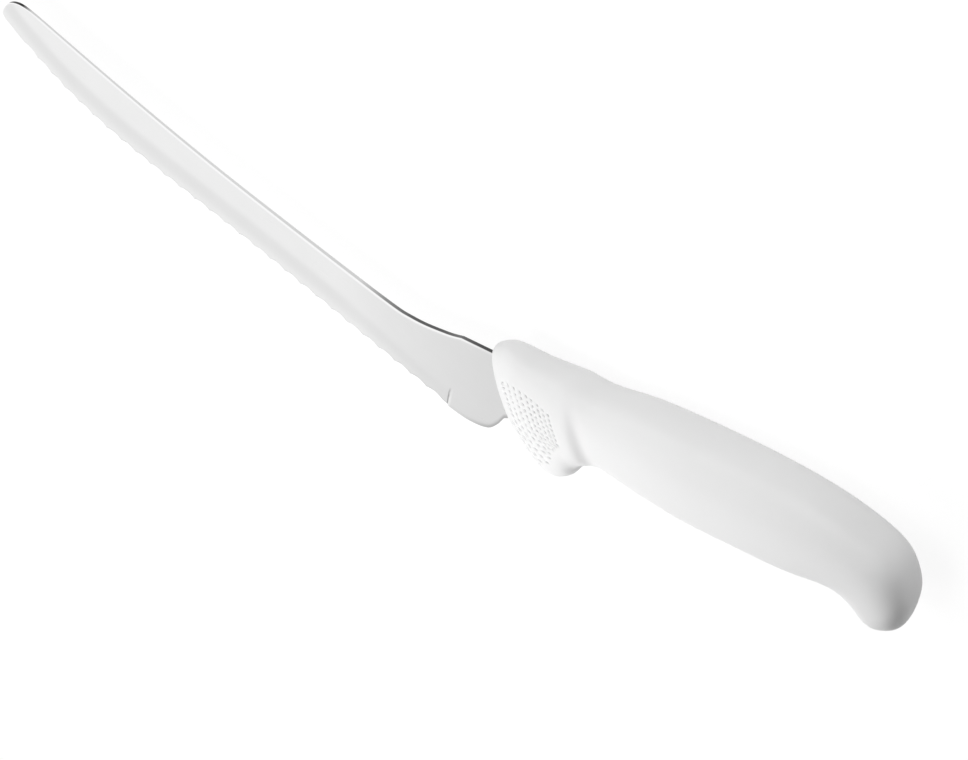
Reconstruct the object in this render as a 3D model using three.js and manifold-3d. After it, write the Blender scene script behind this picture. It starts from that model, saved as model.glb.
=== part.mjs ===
// Offset bread knife: a stamped blade whose hidden tang runs into the handle, a rigid core moulded round
// the tang and through its holes, and a soft grip moulded over the core. Millimetres. The knife lies on
// its side: X runs from the tip to the butt, Y from the cutting edge to the spine, and Z up.
import * as THREE from 'three';
import { mergeVertices } from 'three/addons/utils/BufferGeometryUtils.js';
import Module from 'manifold-3d';

const wasm = await Module();
wasm.setup();

// Blade: lengths run forward from the handle's nose, heights are measured from the drawing's base line
const BLADE_LENGTH = 201.5;
const TIP_RISE = 34.3;
const SPINE_ENTRY = 1.5;
const SPINE_SHOULDER = 2.5;
const SPINE_DIP = 6.05;
const BLADE_WIDTH = 21.1;
const TIP_HEIGHT = 9.5;
const HEEL_DEPTH = 35.5;
const HEEL_PLAIN = 17;
const HEEL_FRONT_LIFT = 1.1;
const HEEL_REAR_SETBACK = 2.9;
const HEEL_REAR_LIFT = 5.9;
const HEEL_REAR_LENGTH = 4.6;
const HEEL_REAR_DEGREES = 62;
const BLADE_THICKNESS = 1.7;
const TIP_THICKNESS = 1.1;

// Ground faces and scalloped edge
const GRIND_HEIGHT = 11;
const GRIND_HEIGHT_AT_HEEL = 7;
const GRIND_RAMP = 42;
const GRIND_RUN_OUT = 2.5;
const EDGE_THICKNESS = 0.45;
const SCALLOP_PITCH = 6.54;
const SCALLOP_DEPTH = 1.05;
const SCALLOP_CUTTER_SPAN = 1.24;
const SCALLOP_BEVEL_DEGREES = 21;
const PLAIN_EDGE_AT_TIP = 9.4;
const PLAIN_EDGE_AT_HEEL = 1.9;

// Tang, hidden in the handle
const TANG_ROOT = 14;
const TANG_THROAT = 4;
const TANG_LENGTH = 74;
const TANG_HEIGHT = 12;
const TANG_END_HEIGHT = 10;
const TANG_RISE_DEGREES = 6;
const TANG_HOLE = 6;
const TANG_HOLE_COUNT = 3;
const TANG_HOLE_PITCH = 22;

// Handle: lengths run back from the nose, heights are measured from the base line
const HANDLE_LENGTH = 136;
const BACK_HEIGHT_AT_NOSE = 5.8;
const BACK_HEIGHT_AT_PALM = 13.8;
const GUARD_LENGTH = 36;
const GUARD_DROP = 35;
const WAIST_LENGTH = 10;
const WAIST_DROP = 18.3;
const PALM_DROP = 17.5;
const HOOK_LENGTH = 25.5;
const HOOK_THROAT_DROP = 11.5;
const HOOK_DROP = 16.7;
const NOSE_WIDTH = 4.8;
const NOSE_BOW = 2;
const CREST_WIDTH = 19.6;
const WAIST_WIDTH = 16.6;
const PALM_WIDTH = 22;
const BUTT_WIDTH = 15;
const BUTT_DOME = 3.3;
const SKIN = 3;
const FIT = 0.3;

// The rigid core reaches from one of the handle's stations to another
const CORE_FIRST_STATION = 4;
const CORE_LAST_STATION = 14;

// Facets
const RING_POINTS = 32;
const CORE_RING_POINTS = 24;
const RINGS_PER_STATION = 3;
const CORE_RINGS_PER_STATION = 2;
const OUTLINE_SEGMENTS = 6;
const PLAIN_EDGE_SEGMENTS = 4;
const SCALLOP_SEGMENTS = 6;
const GRIND_STATIONS = 14;
const DOME_RING_DEGREES = [22, 45, 65, 80];

const overshoot = 2 * BLADE_THICKNESS;
const vec = (x, y) => new THREE.Vector2(x, y);
const lerp = THREE.MathUtils.lerp;

// Closed geometry to a solid that can be joined and cut, and back
function solid(geometry) {
  const bare = geometry.clone();
  bare.deleteAttribute('normal');
  bare.deleteAttribute('uv');
  const merged = mergeVertices(bare, 1e-4);
  return new wasm.Manifold(new wasm.Mesh({
    numProp: 3,
    vertProperties: new Float32Array(merged.attributes.position.array),
    triVerts: new Uint32Array(merged.index.array),
  }));
}

function geometryOf(body) {
  const mesh = body.getMesh();
  const geometry = new THREE.BufferGeometry();
  geometry.setAttribute('position', new THREE.BufferAttribute(mesh.vertProperties, 3));
  geometry.setIndex(new THREE.BufferAttribute(mesh.triVerts, 1));
  geometry.computeVertexNormals();
  return geometry;
}

// A flat outline made into a plate that is centred on the middle plane of the blade
function plate(shape, thickness) {
  const options = { depth: thickness, bevelEnabled: false, curveSegments: OUTLINE_SEGMENTS };
  return solid(new THREE.ExtrudeGeometry(shape, options).translate(0, 0, -thickness / 2));
}

// A skin over rings of equal count, closed by a fan at each end
function loft(rings) {
  const count = rings[0].length;
  const points = rings.flat();
  const index = [];
  for (let i = 0; i + 1 < rings.length; i += 1) {
    for (let j = 0; j < count; j += 1) {
      const a = i * count + j;
      const b = i * count + (j + 1) % count;
      index.push(a, b, b + count, a, b + count, a + count);
    }
  }
  const cap = (first, turn) => {
    const middle = points.length;
    const ring = points.slice(first, first + count);
    points.push(ring.reduce((sum, p) => sum.add(p), new THREE.Vector3()).divideScalar(count));
    for (let j = 0; j < count; j += 1) {
      const pair = [first + j, first + (j + 1) % count];
      index.push(middle, pair[turn], pair[1 - turn]);
    }
  };
  cap(0, 1);
  cap((rings.length - 1) * count, 0);
  return solid(new THREE.BufferGeometry().setFromPoints(points).setIndex(index));
}

// Blade outline: the spine drops from the handle, then sweeps up to the tip, and the edge follows it
const onBlade = (share, height) => vec(-share * BLADE_LENGTH, height);
const spineHeight = (share) => lerp(-SPINE_DIP, TIP_RISE, share);
const edgeHeight = (share, width) => spineHeight(share) - width * BLADE_WIDTH;
const tipHeight = (share) => TIP_RISE - share * TIP_HEIGHT;
const spineCurve = new THREE.SplineCurve([
  onBlade(0.9955, tipHeight(1)),
  onBlade(1, tipHeight(0.78)),
  onBlade(0.988, tipHeight(0.41)),
  onBlade(0.974, tipHeight(0.16)),
  onBlade(0.959, tipHeight(0.03)),
  onBlade(0.9405, tipHeight(0)),
  onBlade(0.911, spineHeight(0.97)),
  onBlade(0.856, spineHeight(0.882)),
  onBlade(0.742, spineHeight(0.7)),
  onBlade(0.608, spineHeight(0.504)),
  onBlade(0.4715, spineHeight(0.328)),
  onBlade(0.216, spineHeight(0.042)),
  onBlade(0.146, -SPINE_DIP),
  onBlade(0.0855, lerp(-SPINE_SHOULDER, -SPINE_DIP, 0.53)),
  onBlade(0.0545, -SPINE_SHOULDER),
]);
const heelFront = vec(-HEEL_PLAIN, HEEL_FRONT_LIFT - HEEL_DEPTH);
const edgeCurve = new THREE.SplineCurve([
  heelFront,
  onBlade(0.2185, edgeHeight(0.036, 1.09)),
  onBlade(0.4655, edgeHeight(0.316, 1.007)),
  onBlade(0.724, edgeHeight(0.674, 1.115)),
  onBlade(0.843, edgeHeight(0.862, 1.0925)),
  onBlade(0.9295, edgeHeight(0.99, 0.896)),
  onBlade(0.9955, tipHeight(1)),
]);

// Scallops run between cusps on the edge, with a short plain stretch at the heel and a longer one at the tip
const edgeLength = edgeCurve.getLength();
const scallopRun = edgeLength - PLAIN_EDGE_AT_HEEL - PLAIN_EDGE_AT_TIP;
const scallopCount = Math.round(scallopRun / SCALLOP_PITCH);
const onEdge = (distance) => edgeCurve.getPointAt(distance / edgeLength);
const cusps = Array.from({ length: scallopCount + 1 }, (_, k) => (
  onEdge(PLAIN_EDGE_AT_HEEL + scallopRun * k / scallopCount)
));

// Unit vector from the edge towards the spine, for a step along the edge from the heel to the tip
const inward = (step) => vec(step.y, -step.x).normalize();

// Tang: a tapered bar that rises from the heel into the middle of the handle
const tangRise = THREE.MathUtils.degToRad(TANG_RISE_DEGREES);
const tangRoot = vec(TANG_ROOT, -SPINE_ENTRY - TANG_HEIGHT / 2);
const onTang = (along, across) => vec(along, across).rotateAround(vec(0, 0), tangRise).add(tangRoot);
const heelRise = THREE.MathUtils.degToRad(HEEL_REAR_DEGREES);
const heelRearNormal = vec(Math.sin(heelRise), -Math.cos(heelRise));
const heelLowest = vec(-HEEL_PLAIN / 2, -HEEL_DEPTH);
const heelCorner = vec(HEEL_REAR_SETBACK, HEEL_REAR_LIFT - HEEL_DEPTH);
const heelRound = vec(lerp(heelCorner.x, heelLowest.x, 0.35), lerp(heelCorner.y, heelLowest.y, 0.73));
const heelRear = vec(HEEL_REAR_LENGTH, 0).rotateAround(vec(0, 0), heelRise).add(heelCorner);

// Follows the blank from the handle's nose along the tang, round its end and back down to the heel
function traceTang(path, grow) {
  const endRadius = TANG_END_HEIGHT / 2 + grow;
  const endMiddle = onTang(TANG_LENGTH - TANG_END_HEIGHT / 2, 0);
  const upper = onTang(0, TANG_HEIGHT / 2 + grow);
  const lower = onTang(TANG_THROAT, -TANG_HEIGHT / 2 - grow);
  const rear = heelRear.clone().addScaledVector(heelRearNormal, grow);
  const corner = heelCorner.clone().addScaledVector(heelRearNormal, grow);
  const quarter = Math.PI / 2;
  path.lineTo(0, grow - SPINE_ENTRY);
  path.lineTo(upper.x, upper.y);
  path.absarc(endMiddle.x, endMiddle.y, endRadius, tangRise + quarter, tangRise - quarter, true);
  path.lineTo(lower.x, lower.y);
  path.quadraticCurveTo(lerp(rear.x, lower.x, 0.45), lerp(rear.y, lower.y, 0.3), rear.x, rear.y);
  path.lineTo(corner.x, corner.y);
}

function tangHoles(radius) {
  return Array.from({ length: TANG_HOLE_COUNT }, (_, k) => {
    const middle = onTang(TANG_LENGTH / 2 + (k - (TANG_HOLE_COUNT - 1) / 2) * TANG_HOLE_PITCH, 0);
    return new THREE.Path().absarc(middle.x, middle.y, radius, 0, 2 * Math.PI);
  });
}

// The stamped blank; its edge keeps a little stock below the cusps for the scallops to cut away
function blankShape() {
  const stock = SCALLOP_DEPTH / 3;
  const shape = new THREE.Shape();
  shape.moveTo(spineCurve.points[0].x, spineCurve.points[0].y);
  shape.splineThru(spineCurve.points.slice(1));
  traceTang(shape, 0);
  shape.splineThru([heelRound, heelLowest, heelFront]);
  shape.lineTo(cusps[0].x, cusps[0].y);
  cusps.slice(1, -1).forEach((cusp, k) => {
    const out = inward(cusps[k + 2].clone().sub(cusps[k])).multiplyScalar(-stock).add(cusp);
    shape.lineTo(out.x, out.y);
  });
  for (let k = PLAIN_EDGE_SEGMENTS; k > 0; k -= 1) {
    const point = onEdge(edgeLength - PLAIN_EDGE_AT_TIP * k / PLAIN_EDGE_SEGMENTS);
    shape.lineTo(point.x, point.y);
  }
  shape.holes = tangHoles(TANG_HOLE / 2);
  return shape;
}

// Thickness of the tapered blade before it is ground, at a place ahead of the plain heel
const thicknessAt = (x) => (
  lerp(BLADE_THICKNESS, TIP_THICKNESS, Math.max(-HEEL_PLAIN - x, 0) / (BLADE_LENGTH - HEEL_PLAIN))
);

// Distal taper: one wedge off each flank, from the plain heel to the tip
function taperWedge(side) {
  const front = -BLADE_LENGTH - overshoot;
  const outside = BLADE_THICKNESS / 2 + overshoot;
  const heel = [[-HEEL_PLAIN, BLADE_THICKNESS / 2], [-HEEL_PLAIN, outside]];
  const tip = [[front, outside], [front, thicknessAt(front) / 2]];
  const height = 2 * (HEEL_DEPTH + TIP_RISE);
  const wedge = new THREE.ExtrudeGeometry(
    new THREE.Shape([...heel, ...tip].map(([x, z]) => vec(x, side * z))),
    { depth: height, bevelEnabled: false },
  );
  return solid(wedge.translate(0, 0, -height / 2).rotateX(Math.PI / 2));
}

// Main grind: a wedge swept along the edge that leaves the flank thin where the scallops are cut
function grindWedge(side) {
  const steps = edgeCurve.getSpacedPoints(GRIND_STATIONS);
  const last = steps.length - 1;
  const beyond = steps[last].clone().multiplyScalar(2).sub(steps[last - 1]);
  const line = [...steps, beyond];
  const outside = BLADE_THICKNESS / 2 + overshoot;
  const rings = line.map((point, k) => {
    const before = line[Math.max(k - 1, 0)];
    const after = line[Math.min(k + 1, line.length - 1)];
    const inwards = inward(after.clone().sub(before));
    const ramp = Math.min(k / last * edgeLength / GRIND_RAMP, 1);
    const height = lerp(GRIND_HEIGHT_AT_HEEL, GRIND_HEIGHT, ramp);
    const slope = (thicknessAt(point.x) - EDGE_THICKNESS) / 2 / height;
    const inner = point.clone().addScaledVector(inwards, height + GRIND_RUN_OUT);
    const innerHalf = EDGE_THICKNESS / 2 + slope * (height + GRIND_RUN_OUT);
    const outer = point.clone().addScaledVector(inwards, -overshoot);
    const outerHalf = EDGE_THICKNESS / 2 - slope * overshoot;
    const corners = [[outer, outerHalf], [inner, innerHalf], [inner, outside], [outer, outside]];
    const ring = corners.map(([p, half]) => new THREE.Vector3(p.x, p.y, side * half));
    return side > 0 ? ring.reverse() : ring;
  });
  return loft(rings);
}

// One scallop: a round-topped cutter between two cusps, slanted so that it bites deeper on the lower flank.
// It reaches a little past the cusps, so that neighbouring scallops meet in a point.
function scallopCutter(from, to) {
  const pitch = from.distanceTo(to);
  const radius = (pitch * pitch / 4 + SCALLOP_DEPTH * SCALLOP_DEPTH) / 2 / SCALLOP_DEPTH;
  const reach = SCALLOP_CUTTER_SPAN * pitch / 2;
  const half = Math.asin(Math.min(reach / radius, 1));
  const shape = new THREE.Shape();
  shape.moveTo(-radius * Math.sin(half), -overshoot);
  shape.lineTo(radius * Math.sin(half), -overshoot);
  shape.absarc(0, SCALLOP_DEPTH - radius, radius, Math.PI / 2 - half, Math.PI / 2 + half, false);
  const options = { depth: 2 * overshoot, bevelEnabled: false, curveSegments: SCALLOP_SEGMENTS / 2 };
  const cutter = new THREE.ExtrudeGeometry(shape, options).translate(0, 0, -overshoot);
  const slant = 1 / Math.tan(THREE.MathUtils.degToRad(SCALLOP_BEVEL_DEGREES));
  const shear = new THREE.Matrix4().makeShear(0, 0, 0, 0, 0, -slant);
  const middle = from.clone().add(to).divideScalar(2);
  const along = from.clone().sub(to);
  cutter.translate(0, 0, -EDGE_THICKNESS / 2).applyMatrix4(shear).translate(0, 0, EDGE_THICKNESS / 2);
  cutter.rotateZ(Math.atan2(along.y, along.x));
  return solid(cutter.translate(middle.x, middle.y, 0));
}

function bladeBody() {
  let body = plate(blankShape(), BLADE_THICKNESS);
  for (const side of [1, -1]) {
    body = body.subtract(taperWedge(side)).subtract(grindWedge(side));
  }
  for (let k = 0; k < scallopCount; k += 1) {
    body = body.subtract(scallopCutter(cusps[k], cusps[k + 1]));
  }
  return body;
}

// Handle stations: a line from the back to the belly, the full width at each end of it, the squareness and
// how far the line bows forward. They lean forward at the nose, step in behind the guard's crest, stand
// upright along the palm and fan round the hook of the butt.
const guardX = (share) => share * GUARD_LENGTH;
const palmX = (share) => lerp(GUARD_LENGTH + WAIST_LENGTH, HANDLE_LENGTH - HOOK_LENGTH, share);
const hookX = (share) => lerp(HANDLE_LENGTH - HOOK_LENGTH, HANDLE_LENGTH, share);
const backY = (share) => lerp(BACK_HEIGHT_AT_NOSE, BACK_HEIGHT_AT_PALM, share);
const guardY = (share) => lerp(-GUARD_DROP, -WAIST_DROP, share);
const palmY = (share) => lerp(-PALM_DROP, -HOOK_THROAT_DROP, share);
const hookY = (share) => lerp(-HOOK_THROAT_DROP, -HOOK_DROP, share);
const flare = (share) => lerp(NOSE_WIDTH, CREST_WIDTH, share);
const swell = (share) => lerp(WAIST_WIDTH, PALM_WIDTH, share);
const taper = (share) => lerp(PALM_WIDTH, BUTT_WIDTH, share);
function station(back, belly, [backWidth, bellyWidth], square, bowShare = 0) {
  const bow = bowShare * NOSE_BOW;
  return { back: vec(...back), belly: vec(...belly), backWidth, bellyWidth, square, bow };
}
const stations = [
  station([guardX(0.028), backY(-0.61)], [guardX(0.31), guardY(0.4)], [flare(0), flare(0)], 4, 1),
  station([guardX(0.045), backY(-0.37)], [guardX(0.445), guardY(0.19)], [flare(0.165), flare(0.165)], 4, 1),
  station([guardX(0.15), backY(-0.04)], [guardX(0.63), guardY(0.01)], [flare(0.41), flare(0.455)], 3.6, 0.8),
  station([guardX(0.256), backY(0)], [guardX(0.784), guardY(0.115)], [flare(0.62), flare(0.755)], 3.2, 0.5),
  station([guardX(0.426), backY(-0.06)], [guardX(0.904), guardY(0.38)], [flare(0.77), flare(0.93)], 3, 0.28),
  station([guardX(0.585), backY(0)], [guardX(0.962), guardY(0.684)], [flare(0.865), flare(0.985)], 2.8, 0.1),
  station([guardX(0.772), backY(0.11)], [guardX(1.064), guardY(0.907)], [flare(0.93), flare(1)], 2.7),
  station([guardX(0.902), backY(0.11)], [guardX(1.167), guardY(0.977)], [swell(0.37), swell(0.07)], 2.7),
  station([palmX(-0.111), backY(0.16)], [palmX(0), guardY(1)], [swell(0.55), swell(0.04)], 2.6),
  station([palmX(0.099), backY(0.57)], [palmX(0.138), palmY(-0.19)], [swell(0.815), swell(0.48)], 2.6),
  station([palmX(0.37), backY(0.825)], [palmX(0.37), palmY(-0.13)], [swell(1), swell(0.93)], 2.6),
  station([palmX(0.65), backY(1)], [palmX(0.635), palmY(0.15)], [swell(1), swell(0.93)], 2.6),
  station([palmX(0.898), backY(1)], [palmX(0.874), palmY(0.48)], [taper(0.06), taper(0.17)], 2.6),
  station([hookX(0.274), backY(0.73)], [hookX(0.084), hookY(0)], [taper(0.17), taper(0.34)], 2.6),
  station([hookX(0.74), backY(0.19)], [hookX(0.255), hookY(0.01)], [taper(0.34), taper(0.51)], 2.6),
  station([hookX(0.969), backY(-0.99)], [hookX(0.426), hookY(0.477)], [taper(0.57), taper(0.69)], 2.6),
  station([hookX(0.993), backY(-2.02)], [hookX(0.538), hookY(1)], [taper(1), taper(1)], 2.4),
];
const end = stations.length - 1;
const through = (pick) => new THREE.CatmullRomCurve3(stations.map(pick), false, 'catmullrom');
const backCurve = through((s) => new THREE.Vector3(s.back.x, s.back.y, 0));
const bellyCurve = through((s) => new THREE.Vector3(s.belly.x, s.belly.y, 0));
const sectionCurve = through((s) => new THREE.Vector3(s.backWidth / 2, s.bellyWidth / 2, s.square));
const bowCurve = through((s) => new THREE.Vector3(s.bow, 0, 0));
const power = (value, exponent) => Math.sign(value) * Math.abs(value) ** exponent;

// The middle of the handle at a place between two stations
function middleAt(place) {
  return backCurve.getPoint(place / end).add(bellyCurve.getPoint(place / end)).divideScalar(2);
}

// One section of the handle there, drawn in by an inset
function handleRing(place, inset, count) {
  const section = sectionCurve.getPoint(place / end);
  const middle = middleAt(place);
  const reach = backCurve.getPoint(place / end).sub(middle);
  const ahead = new THREE.Vector3(-reach.y, reach.x, 0).setLength(bowCurve.getPoint(place / end).x);
  reach.setLength(reach.length() - inset);
  return Array.from({ length: count }, (_, j) => {
    const angle = 2 * Math.PI * j / count;
    const along = power(Math.cos(angle), 2 / section.z);
    const width = lerp(section.y, section.x, (along + 1) / 2) - inset;
    const point = middle.clone().addScaledVector(reach, along).addScaledVector(ahead, 1 - along * along);
    return point.setZ(width * power(Math.sin(angle), 2 / section.z));
  });
}

function handleRings(first, last, perStation, inset, count) {
  const steps = Math.round((last - first) * perStation);
  return Array.from({ length: steps + 1 }, (_, k) => handleRing(lerp(first, last, k / steps), inset, count));
}

// The butt closes in a low dome beyond the last station
function buttDome() {
  const rim = handleRing(end, 0, RING_POINTS);
  const middle = middleAt(end);
  const { back, belly } = stations[end];
  const outward = new THREE.Vector3(back.y - belly.y, belly.x - back.x, 0).setLength(BUTT_DOME);
  return DOME_RING_DEGREES.map((degrees) => {
    const turn = THREE.MathUtils.degToRad(degrees);
    const rise = outward.clone().multiplyScalar(Math.sin(turn));
    return rim.map((p) => p.clone().lerp(middle, 1 - Math.cos(turn)).add(rise));
  });
}

// The seat of the tang and heel: the blank grown by the fit, with posts left standing in the tang's holes
function tangSeat() {
  const front = -HEEL_PLAIN / 2;
  const shape = new THREE.Shape();
  shape.moveTo(front, FIT - HEEL_DEPTH);
  shape.lineTo(front, FIT - SPINE_ENTRY);
  traceTang(shape, FIT);
  shape.holes = tangHoles(TANG_HOLE / 2 - FIT);
  return plate(shape, BLADE_THICKNESS + 2 * FIT);
}

function coreBody() {
  const [first, last] = [CORE_FIRST_STATION, CORE_LAST_STATION];
  const rings = handleRings(first, last, CORE_RINGS_PER_STATION, SKIN + FIT, CORE_RING_POINTS);
  return loft(rings).subtract(tangSeat());
}

// The place along the handle that lies a short distance before or behind another
function placeBeside(place, distance) {
  const spacing = middleAt(place).distanceTo(middleAt(place + Math.sign(distance)));
  return place + distance / spacing;
}

function gripBody() {
  const outer = loft([...handleRings(0, end, RINGS_PER_STATION, 0, RING_POINTS), ...buttDome()]);
  const first = placeBeside(CORE_FIRST_STATION, -FIT);
  const last = placeBeside(CORE_LAST_STATION, FIT);
  const cavity = loft(handleRings(first, last, CORE_RINGS_PER_STATION, SKIN, CORE_RING_POINTS));
  return outer.subtract(cavity).subtract(tangSeat());
}

function piece(name, body, color, roughness, metalness) {
  const material = new THREE.MeshStandardMaterial({ color, roughness, metalness });
  const mesh = new THREE.Mesh(geometryOf(body), material);
  mesh.name = name;
  return mesh;
}

const knife = new THREE.Group();
knife.add(piece('blade', bladeBody(), 0xc9cbcc, 0.32, 1));
knife.add(piece('handle_core', coreBody(), 0xe6e6e2, 0.55, 0));
knife.add(piece('handle_grip', gripBody(), 0xf1f1ee, 0.45, 0));

// The origin is under the middle of the knife, on the surface that it lies on
const box = new THREE.Box3().setFromObject(knife);
const centre = box.getCenter(new THREE.Vector3());
knife.position.set(-centre.x, -centre.y, -box.min.z);

export default knife;
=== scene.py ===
import bisect
import math

import bmesh
import bpy
from mathutils import Matrix, Vector


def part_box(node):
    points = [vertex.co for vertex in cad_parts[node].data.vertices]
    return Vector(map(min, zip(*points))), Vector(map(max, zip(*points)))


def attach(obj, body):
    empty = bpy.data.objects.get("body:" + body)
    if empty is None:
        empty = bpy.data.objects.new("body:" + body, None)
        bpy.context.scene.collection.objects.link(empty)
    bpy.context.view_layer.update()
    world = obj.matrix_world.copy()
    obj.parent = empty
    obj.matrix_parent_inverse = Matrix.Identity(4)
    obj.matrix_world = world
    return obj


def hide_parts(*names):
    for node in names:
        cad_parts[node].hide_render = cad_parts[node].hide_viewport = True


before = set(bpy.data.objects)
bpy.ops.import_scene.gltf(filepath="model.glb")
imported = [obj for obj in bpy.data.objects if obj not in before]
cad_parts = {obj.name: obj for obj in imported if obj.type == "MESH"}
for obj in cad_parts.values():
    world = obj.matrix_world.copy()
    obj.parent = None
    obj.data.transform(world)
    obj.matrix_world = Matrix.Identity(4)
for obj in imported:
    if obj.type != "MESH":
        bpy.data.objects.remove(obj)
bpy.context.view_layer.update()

# The drawing is in millimetres. X runs from the tip to the butt, Y from the edge to the spine, Z is height
# over the blade's middle plane, and the origin is where the spine meets the handle's nose.
MM = 0.001

# Blade: lengths run forward from the handle's nose, heights are measured from the drawing's base line
BLADE_LENGTH = 201.5
TIP_RISE = 34.3
SPINE_ENTRY = 1.5
SPINE_SHOULDER = 2.5
SPINE_DIP = 6.05
BLADE_WIDTH = 21.1
TIP_HEIGHT = 9.5
HEEL_DEPTH = 35.5
HEEL_PLAIN = 17.0
HEEL_FRONT_LIFT = 1.1
HEEL_REAR_SETBACK = 2.9
HEEL_REAR_LIFT = 5.9
HEEL_REAR_LENGTH = 4.6
HEEL_REAR_RISE = math.radians(62)
BLADE_HALF = 0.85
TIP_HALF = 0.55
EDGE_HALF = 0.225

# Grind, and the step where it stops at the heel, with a painted shade on the step and a painted highlight
# just behind it
GRIND_HEIGHT = 11.0
GRIND_HEIGHT_AT_HEEL = 7.0
GRIND_RAMP = 42.0
GRIND_SOFTNESS = 0.06
PLUNGE_RUN = 0.9
PLUNGE_SHADE_DEPTH = 0.12
PLUNGE_HIGHLIGHT = 0.6

# Scallops, with a plain stretch of edge at each end
SCALLOP_PITCH = 6.54
SCALLOP_STEPS = 12
SCALLOP_DEPTH = 1.05
SCALLOP_BEVEL = math.tan(math.radians(21))
SCALLOP_BEVEL_OF_WIDTH = 0.45
PLAIN_EDGE_AT_TIP = 9.4
PLAIN_EDGE_AT_HEEL = 1.9
PLAIN_EDGE_STEPS = 14
PLAIN_EDGE_STOPS = (0.3, 0.6, 0.85, 1)
PLAIN_EDGE_BEVEL = 0.1
PLAIN_EDGE_BEVEL_OF_WIDTH = 0.3
EDGE_WAY_REACH = 0.5

# Rounded corners along the spine and under the heel
RIM_RADIUS = 0.35
RIM_OF_HALF = 0.7
RIM_OF_WIDTH = 0.25
# How far the painted highlight on the spine's rounded corner fades onto the flank
RIM_HIGHLIGHT_FADE = 0.5
TIP_RIM_RADIUS = 0.07
TIP_RIM_SPAN = (0.89, 0.94)
HEEL_RIM_RADIUS = 0.12

# How far the ground band's finish, the painted highlight near the edge and the painted shade along the
# heel's foot reach
GROUND_SPAN = (-2.5, 1.5)
EDGE_HIGHLIGHT_SPAN = (0.8, 6.5)
HEEL_SHADE_FRONT = 0.07
HEEL_SHADE_REAR = 0.42
HEEL_SHADE_SPAN = (-14, 2)
HEEL_SHADE_FADE = (0.3, 2.2)

# Tang, and the seat that is moulded round it
TANG_HALF_HEIGHT = 6.0
TANG_ROOT = Vector((14, -SPINE_ENTRY - TANG_HALF_HEIGHT))
TANG_RISE = math.radians(6)
TANG_LENGTH = 74.0
TANG_THROAT = 4.0
TANG_END_RADIUS = 5.0
TANG_HOLE_RADIUS = 3.0
TANG_HOLE_PITCH = 22.0
TANG_HOLE_SIDES = 40
THROAT_ALONG = 0.45
THROAT_RISE = 0.3
FIT = 0.3

# Handle: lengths run back from the nose, heights are measured from the base line
HANDLE_LENGTH = 136.0
BACK_HEIGHT_AT_NOSE = 5.8
BACK_HEIGHT_AT_PALM = 13.8
GUARD_LENGTH = 36.0
GUARD_DROP = 35.0
WAIST_LENGTH = 10.0
WAIST_DROP = 18.3
PALM_DROP = 17.5
HOOK_LENGTH = 25.5
HOOK_THROAT_DROP = 11.5
HOOK_DROP = 16.7
NOSE_SETBACK = 0.028
NOSE_WIDTH = 4.8
NOSE_BOW = 2.0
NOSE_LIP = 0.7
NOSE_FACE_INSET = 1.3
CREST_WIDTH = 19.6
WAIST_WIDTH = 16.6
PALM_WIDTH = 22.0
BUTT_WIDTH = 15.0
SKIN = 3.0

# Places along the handle count its stations from 0 at the nose, and shares run round its side from 0 at
# the back to 1 at the belly
DOME_SETBACK = 0.6
DOME_RUN_UP = 0.1
DOME_HEIGHT = 7.24
DOME_TOP = 0.425
DOME_FULLNESS = 0.657
CREASE = 0.95
CREASE_PLACE = 6.4
CREASE_REACH = 0.8
CREASE_RISE = (0.12, 0.38)
CREASE_FALL = (0.6, 0.9)
CORE_FIRST_STATION = 4
CORE_LAST_STATION = 14

# Thumb pad: sunk dots in columns beside the nose, in rows round the side of the guard. A column has its
# place, half its breadth there, and its first and last row.
DOT_COLUMNS = (
    (1.05, 0.15, 8, 13), (1.65, 0.15, 0, 12), (2.30, 0.14, 0, 12), (2.95, 0.11, 0, 11),
    (3.40, 0.095, 0, 10), (3.80, 0.09, 0, 9), (4.15, 0.095, 0, 9), (4.55, 0.095, 0, 8),
    (4.90, 0.085, 0, 7), (5.20, 0.08, 0, 6),
)
DOT_ROW_FIRST = 0.255
DOT_ROW_PITCH = 0.0395
DOT_ROWS = 14
DOT_ROW_FILL = 0.66
DOT_WALL = 0.12
DOT_DEPTH = 0.3
DOT_FLOOR_INSET = 0.2
DOT_FLOOR_DEPTH = 0.08
PAD_LEAN = 1.45
PAD_LEAN_SHARES = (0.46, 0.85)
PAD_LEAN_FADE = 3.5
PAD_BEND_AHEAD = 0.013
PAD_BEND_BEHIND = 0.031
PAD_AHEAD = 3.2
PAD_BEHIND = 3.4
PAD_END = 5.2
PAD_GONE = 9
PAD_BACK_SHARE = 0.2
PAD_BELLY_SHARE = 0.72

# How finely the meshes are divided
CURVE_STEPS = 24
QUARTER_STEPS = 12
THROAT_STEPS = 8
HEEL_STEPS = 56
TANG_STEPS = 44
RING_STEPS = 96
BACK_STEPS = 9
BELLY_STEPS = 6
FIRST_RING = 1.5
WIDEST_GAP = 0.4
PAD_TAIL = 6.5
PAD_TAIL_RINGS = 5
BODY_RINGS = 36
DOME_RINGS = 9
CORE_RINGS = 24
CORE_ROWS = 16
WELD = 2e-6
FLANK_SHARES = (0.015, 0.03, 0.05, 0.08, 0.12, 0.19, 0.28, 0.36, 0.43, 0.49, 0.55, 0.62, 0.71, 0.81, 0.91,
                0.965, 0.988)
ROUND_TURNS = [math.radians(a) for a in (0, 30, 60, 90)]
FOOT_TURNS = [math.radians(a) for a in (90, 45, 0)]
QUARTER_TURN = [math.radians(90 / QUARTER_STEPS * k) for k in range(QUARTER_STEPS + 1)]
HALF_TURN = [math.pi * k / RING_STEPS for k in range(RING_STEPS + 1)]

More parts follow.
